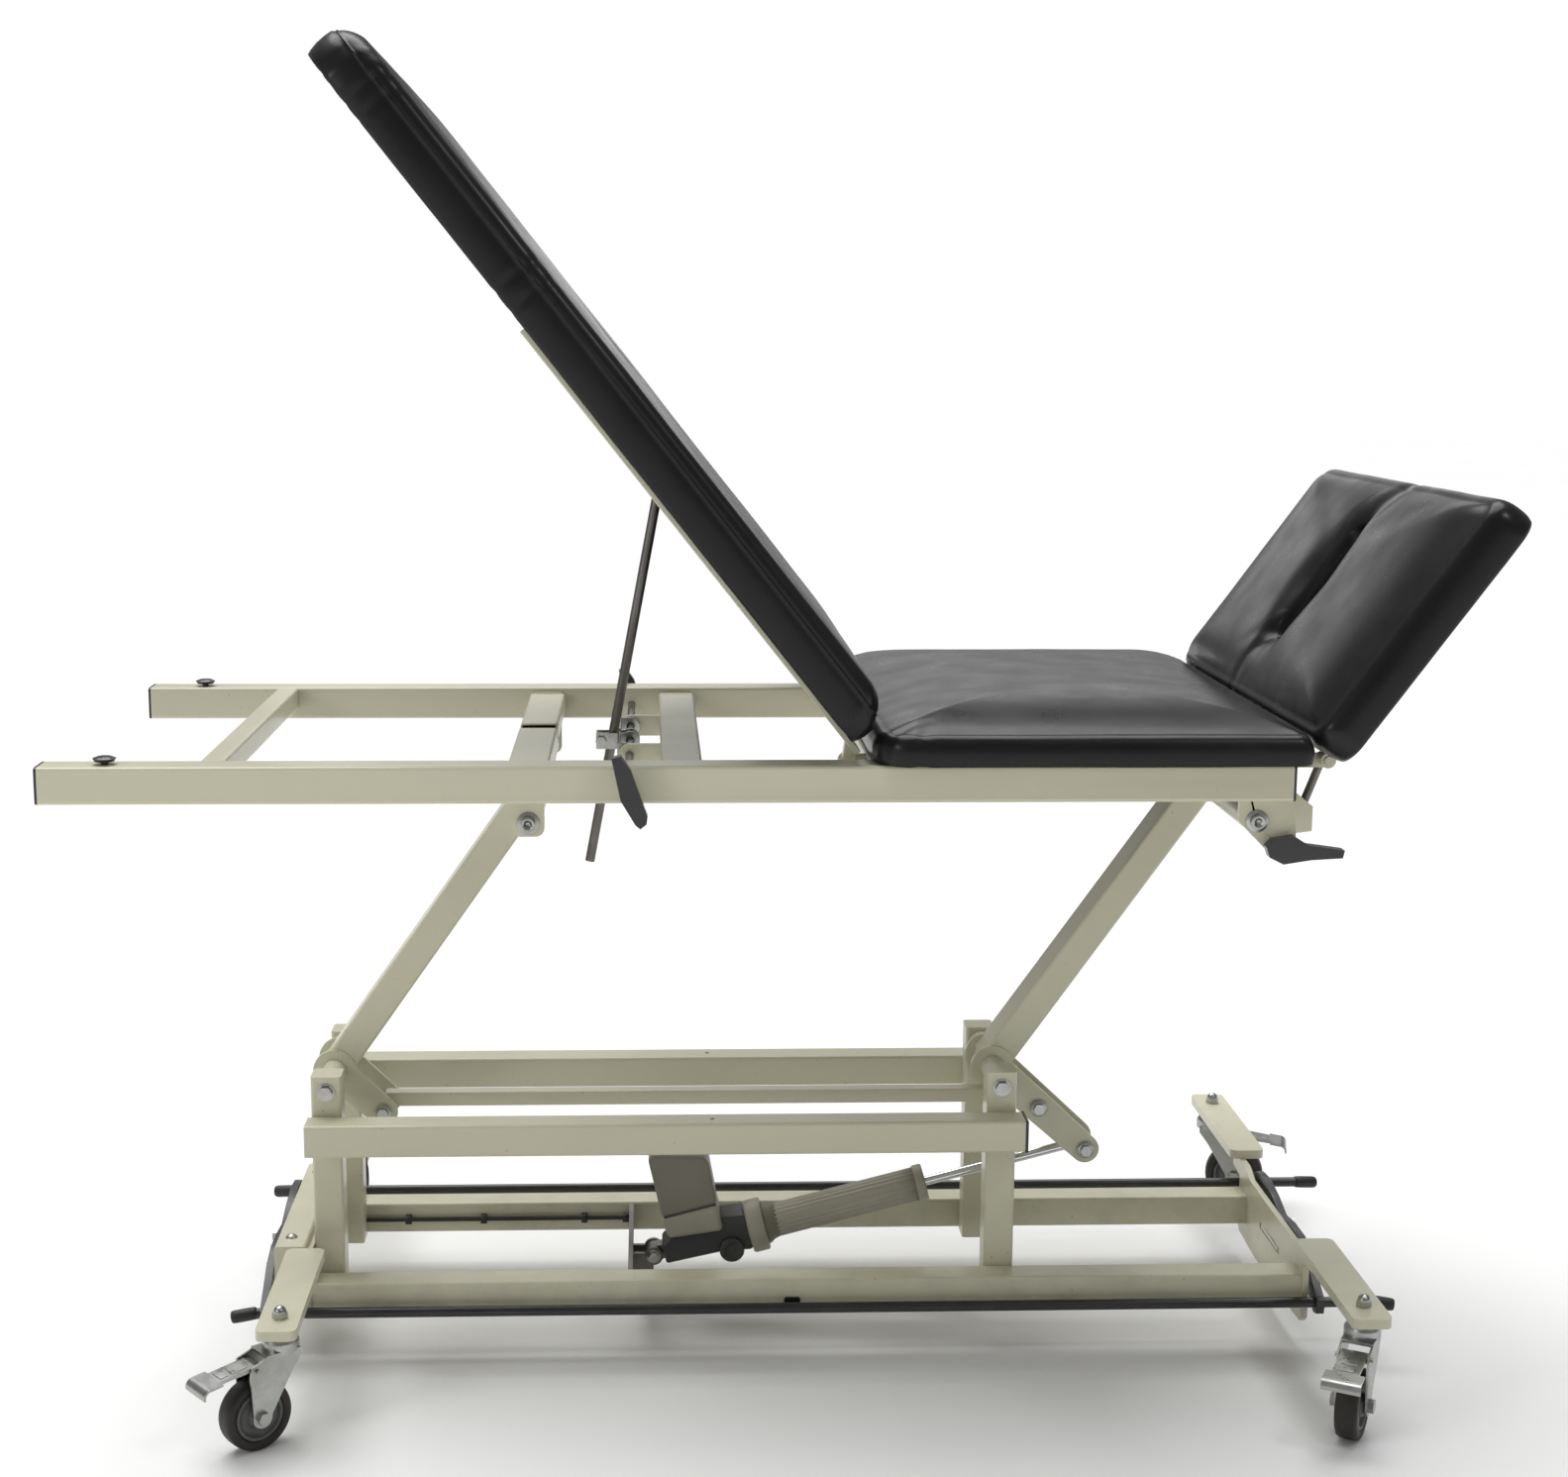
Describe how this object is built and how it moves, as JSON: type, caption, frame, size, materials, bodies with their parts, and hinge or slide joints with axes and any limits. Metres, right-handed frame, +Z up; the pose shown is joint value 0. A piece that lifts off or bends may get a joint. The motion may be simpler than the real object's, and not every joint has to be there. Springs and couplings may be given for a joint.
{
  "type": "treatment couch",
  "caption": "Height-adjustable sectional treatment couch with tilting leg and head sections, prop rods, a parallel-arm lift, foot bars and braked castors.",
  "frame": {"origin": "centre of the outer box at floor level, as the couch stands in its rest pose", "axes": "+X along the couch towards the head section, +Y across it towards the far side, +Z up from the floor"},
  "size_m": [1.648, 0.9432, 1.5574],
  "materials": {
    "frame_paint": "smooth cream powder coat",
    "black_metal": "black powder coat",
    "zinc": "bright zinc plate",
    "dark_steel": "plain dark steel",
    "chrome": "polished ram",
    "black_plastic": "glossy black moulding",
    "actuator_plastic": "grey moulded housing",
    "tyre": "dark solid tyre on a grey hub",
    "vinyl": "black upholstery vinyl over foam",
    "cable": "matte black sheath"
  },
  "bodies": {
    "base": {"lower_tube_near": "frame_paint", "lower_tube_far": "frame_paint", "upper_tube_near": "frame_paint", "upper_tube_far": "frame_paint", "posts_foot": "frame_paint", "posts_head": "frame_paint", "end_plate_foot": "frame_paint", "end_plate_head": "frame_paint", "outrigger_foot_near": "frame_paint", "outrigger_foot_far": "frame_paint", "outrigger_head_near": "frame_paint", "outrigger_head_far": "frame_paint", "base_fasteners": "zinc", "actuator_mount": "dark_steel", "actuator_cable": "cable"},
    "foot_bars": {"foot_bar_near": "black_metal", "foot_bar_far": "black_metal", "foot_bar_arm_foot": "black_metal", "foot_bar_arm_head": "black_metal"},
    "castor_foot_near": {"castor_fork_foot_near": "zinc"},
    "wheel_foot_near": {"castor_wheel_foot_near": "tyre"},
    "pedal_foot_near": {"castor_pedal_foot_near": "zinc"},
    "castor_foot_far": {"castor_fork_foot_far": "zinc"},
    "wheel_foot_far": {"castor_wheel_foot_far": "tyre"},
    "pedal_foot_far": {"castor_pedal_foot_far": "zinc"},
    "castor_head_near": {"castor_fork_head_near": "zinc"},
    "wheel_head_near": {"castor_wheel_head_near": "tyre"},
    "pedal_head_near": {"castor_pedal_head_near": "zinc"},
    "castor_head_far": {"castor_fork_head_far": "zinc"},
    "wheel_head_far": {"castor_wheel_head_far": "tyre"},
    "pedal_head_far": {"castor_pedal_head_far": "zinc"},
    "lift_arm_head_body": {"lift_arm_head": "frame_paint"},
    "lift_arm_foot_body": {"lift_arm_foot": "frame_paint"},
    "tie_bar_body": {"tie_bar": "frame_paint"},
    "actuator": {"actuator_body": "actuator_plastic"},
    "actuator_ram": {"actuator_rod": "chrome"},
    "top_frame": {"rail_near": "frame_paint", "rail_far": "frame_paint", "cross_tube_end": "frame_paint", "cross_plate_mid": "frame_paint", "cross_plate_lock": "frame_paint", "cross_tube_hinge": "frame_paint", "cross_tube_head": "frame_paint", "bracket_foot_near": "frame_paint", "bracket_foot_far": "frame_paint", "bracket_head_near": "frame_paint", "bracket_head_far": "frame_paint", "top_trim": "black_plastic", "mid_cushion": "vinyl"},
    "long_section": {"long_bar_near": "frame_paint", "long_bar_far": "frame_paint", "long_strap": "frame_paint", "long_cushion": "vinyl"},
    "long_prop": {"prop_rod": "dark_steel"},
    "prop_lock_body": {"prop_lock": "zinc"},
    "release_handles": {"release_bar": "black_plastic"},
    "head_section": {"head_frame": "frame_paint", "head_cushion": "vinyl"},
    "head_prop": {"head_prop_rod": "dark_steel"},
    "head_release_lever": {"head_release": "black_plastic"}
  },
  "joints": [
    {"name": "foot_bar_rock", "type": "hinge", "parent": "base", "child": "foot_bars", "pos_m": [0, 0, 0.1], "axis": [1, 0, 0], "range_deg": [-12, 2], "stiffness_Nm_per_rad": 40},
    {"name": "swivel_foot_near", "type": "hinge", "parent": "base", "child": "castor_foot_near", "pos_m": [-0.566, -0.3665, 0.112], "axis": [0, 0, 1], "continuous": true},
    {"name": "roll_foot_near", "type": "hinge", "parent": "castor_foot_near", "child": "wheel_foot_near", "pos_m": [-0.59358, -0.38805, 0.041], "axis": [0.6157, -0.788, 0], "continuous": true},
    {"name": "brake_foot_near", "type": "hinge", "parent": "castor_foot_near", "child": "pedal_foot_near", "pos_m": [-0.59752, -0.39113, 0.098], "axis": [0.6157, -0.788, 0], "range_deg": [0, 8]},
    {"name": "swivel_foot_far", "type": "hinge", "parent": "base", "child": "castor_foot_far", "pos_m": [-0.566, 0.3665, 0.112], "axis": [0, 0, 1], "continuous": true},
    {"name": "roll_foot_far", "type": "hinge", "parent": "castor_foot_far", "child": "wheel_foot_far", "pos_m": [-0.58297, 0.39711, 0.041], "axis": [-0.8746, -0.4848, 0], "continuous": true},
    {"name": "brake_foot_far", "type": "hinge", "parent": "castor_foot_far", "child": "pedal_foot_far", "pos_m": [-0.58539, 0.40148, 0.098], "axis": [-0.8746, -0.4848, 0], "range_deg": [0, 8]},
    {"name": "swivel_head_near", "type": "hinge", "parent": "base", "child": "castor_head_near", "pos_m": [0.6695, -0.3665, 0.112], "axis": [0, 0, 1], "continuous": true},
    {"name": "roll_head_near", "type": "hinge", "parent": "castor_head_near", "child": "wheel_head_near", "pos_m": [0.65253, -0.39711, 0.041], "axis": [0.8746, -0.4848, 0], "continuous": true},
    {"name": "brake_head_near", "type": "hinge", "parent": "castor_head_near", "child": "pedal_head_near", "pos_m": [0.65011, -0.40148, 0.098], "axis": [0.8746, -0.4848, 0], "range_deg": [0, 8]},
    {"name": "swivel_head_far", "type": "hinge", "parent": "base", "child": "castor_head_far", "pos_m": [0.6695, 0.3665, 0.112], "axis": [0, 0, 1], "continuous": true},
    {"name": "roll_head_far", "type": "hinge", "parent": "castor_head_far", "child": "wheel_head_far", "pos_m": [0.70331, 0.35744, 0.041], "axis": [0.2588, 0.9659, 0], "continuous": true},
    {"name": "brake_head_far", "type": "hinge", "parent": "castor_head_far", "child": "pedal_head_far", "pos_m": [0.70814, 0.35615, 0.098], "axis": [0.2588, 0.9659, 0], "range_deg": [0, 8]},
    {"name": "lift", "type": "hinge", "parent": "base", "child": "lift_arm_head_body", "pos_m": [0.286, 0, 0.3265], "axis": [0, -1, 0], "range_deg": [-48, 17]},
    {"name": "lift_foot_arm", "type": "hinge", "parent": "base", "child": "lift_arm_foot_body", "pos_m": [-0.544, 0, 0.3265], "axis": [0, -1, 0], "range_deg": [-48.1, 17.1]},
    {"name": "tie_bar_pivot", "type": "hinge", "parent": "lift_arm_head_body", "child": "tie_bar_body", "pos_m": [0.34601, 0, 0.27209], "axis": [0, -1, 0], "range_deg": [-17.1, 48.1]},
    {"name": "actuator_clevis", "type": "hinge", "parent": "base", "child": "actuator", "pos_m": [-0.1438, 0, 0.072], "axis": [0, -1, 0], "range_deg": [-4.8, 1.7]},
    {"name": "actuator_stroke", "type": "slide", "parent": "actuator", "child": "actuator_ram", "axis": [0.9674, 0, 0.2533], "range_m": [-0.1261, 0.0447]},
    {"name": "top_frame_pivot", "type": "hinge", "parent": "lift_arm_head_body", "child": "top_frame", "pos_m": [0.54475, 0, 0.69467], "axis": [0, -1, 0], "range_deg": [-17.1, 48.1]},
    {"name": "long_section_tilt", "type": "hinge", "parent": "top_frame", "child": "long_section", "pos_m": [0.078, 0, 0.7565], "axis": [0, 1, 0], "range_deg": [-51.5, 0]},
    {"name": "long_prop_pin", "type": "hinge", "parent": "long_section", "child": "long_prop", "pos_m": [-0.13796, 0, 1.04727], "axis": [0, 1, 0], "range_deg": [-25.6, 1]},
    {"name": "prop_lock_turn", "type": "hinge", "parent": "top_frame", "child": "prop_lock_body", "pos_m": [-0.172, 0, 0.7435], "axis": [0, 1, 0], "range_deg": [-77.2, 2.6]},
    {"name": "prop_release", "type": "hinge", "parent": "top_frame", "child": "release_handles", "pos_m": [-0.172, 0, 0.7435], "axis": [0, 1, 0], "range_deg": [-12, 12], "stiffness_Nm_per_rad": 4},
    {"name": "head_section_tilt", "type": "hinge", "parent": "top_frame", "child": "head_section", "pos_m": [0.632, 0, 0.7595], "axis": [0, -1, 0], "range_deg": [-54, 0]},
    {"name": "head_prop_pin", "type": "hinge", "parent": "head_section", "child": "head_prop", "pos_m": [0.67756, 0, 0.8154], "axis": [0, -1, 0], "range_deg": [0, 30.2]},
    {"name": "head_release_turn", "type": "hinge", "parent": "top_frame", "child": "head_release_lever", "pos_m": [0.572, -0.28, 0.6685], "axis": [0, 1, 0], "range_deg": [-10, 12], "stiffness_Nm_per_rad": 3}
  ],
  "couplings": [
    {"joint": "lift_foot_arm", "follows": "lift", "ratio": 1},
    {"joint": "tie_bar_pivot", "follows": "lift", "ratio": -1},
    {"joint": "actuator_clevis", "follows": "lift", "ratio": 0.099},
    {"joint": "actuator_stroke", "follows": "lift", "m_per_rad": 0.1501},
    {"joint": "top_frame_pivot", "follows": "lift", "ratio": -1},
    {"joint": "long_prop_pin", "follows": "long_section_tilt", "ratio": 0.49292},
    {"joint": "prop_lock_turn", "follows": "long_section_tilt", "ratio": 1.4929},
    {"joint": "head_prop_pin", "follows": "head_section_tilt", "ratio": -0.55511}
  ]
}
